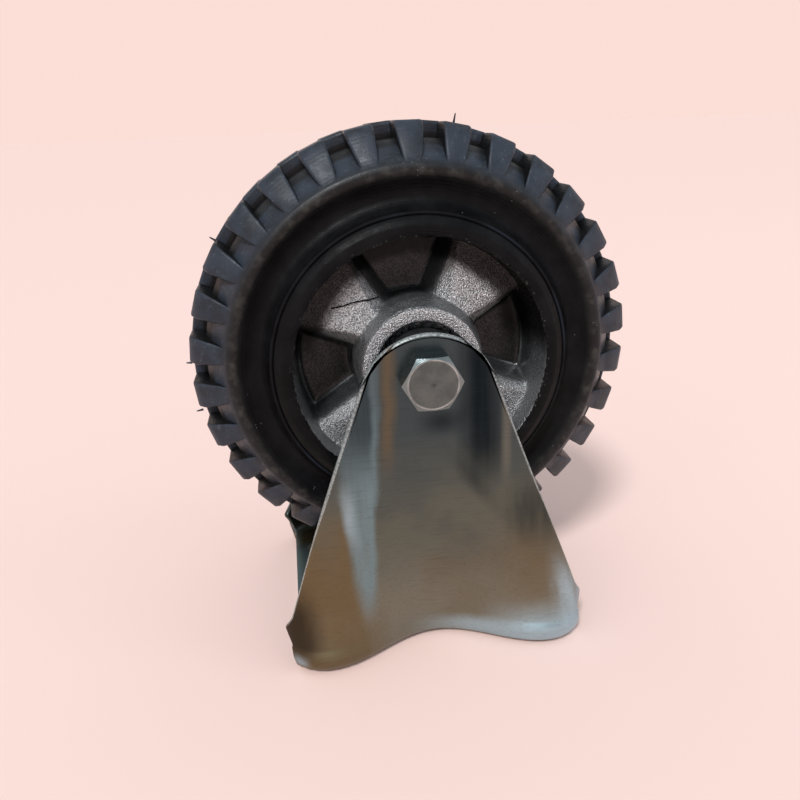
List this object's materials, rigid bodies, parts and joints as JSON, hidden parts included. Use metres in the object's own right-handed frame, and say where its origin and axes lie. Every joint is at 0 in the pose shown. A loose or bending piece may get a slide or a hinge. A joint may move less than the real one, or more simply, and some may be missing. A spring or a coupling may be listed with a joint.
{
  "type": "fixed plate castor",
  "caption": "Fixed plate castor: lugged solid rubber tyre on a spoked cast wheel centre with sealed ball bearings, bolted in a one-piece pressed steel fork with a slotted plate.",
  "frame": {"origin": "centre of the mounting face of the plate", "axes": "+X rolling direction, +Y along the axle towards the nut, +Z from the plate towards the wheel"},
  "size_m": [0.16, 0.106, 0.185],
  "materials": {
    "zinc_sheet": "bright zinc plate, slightly yellowed",
    "tyre_rubber": "moulded rubber, semi-matt with dust",
    "cast_aluminium": "rough as-cast",
    "zinc_fastener": "bright zinc plate",
    "bearing_steel": "ground",
    "seal_rubber": "smooth",
    "nylon": "moulded"
  },
  "bodies": {
    "bracket": {"fork_bracket": "zinc_sheet", "axle_bolt": "zinc_fastener", "axle_nut": "zinc_fastener", "nut_insert": "nylon", "nut_washer": "zinc_fastener", "front_collar": "zinc_fastener", "rear_collar": "zinc_fastener", "bearing_spacer": "zinc_fastener", "front_inner_ring": "bearing_steel", "rear_inner_ring": "bearing_steel"},
    "wheel": {"tyre": "tyre_rubber", "wheel_centre": "cast_aluminium", "front_outer_ring": "bearing_steel", "rear_outer_ring": "bearing_steel", "front_outer_seal": "seal_rubber", "front_inner_seal": "seal_rubber", "rear_outer_seal": "seal_rubber", "rear_inner_seal": "seal_rubber"},
    "front_ball_set": {"front_balls": "bearing_steel", "front_cage": "nylon"},
    "rear_ball_set": {"rear_balls": "bearing_steel", "rear_cage": "nylon"}
  },
  "joints": [
    {"name": "wheel_spin", "type": "hinge", "parent": "bracket", "child": "wheel", "pos_m": [0, 0, 0.105], "axis": [0, 1, 0], "continuous": true},
    {"name": "front_ball_set_spin", "type": "hinge", "parent": "bracket", "child": "front_ball_set", "pos_m": [0, 0, 0.105], "axis": [0, 1, 0], "continuous": true},
    {"name": "rear_ball_set_spin", "type": "hinge", "parent": "bracket", "child": "rear_ball_set", "pos_m": [0, 0, 0.105], "axis": [0, 1, 0], "continuous": true}
  ],
  "couplings": [
    {"joint": "front_ball_set_spin", "follows": "wheel_spin", "ratio": 0.63545},
    {"joint": "rear_ball_set_spin", "follows": "wheel_spin", "ratio": 0.63545}
  ]
}
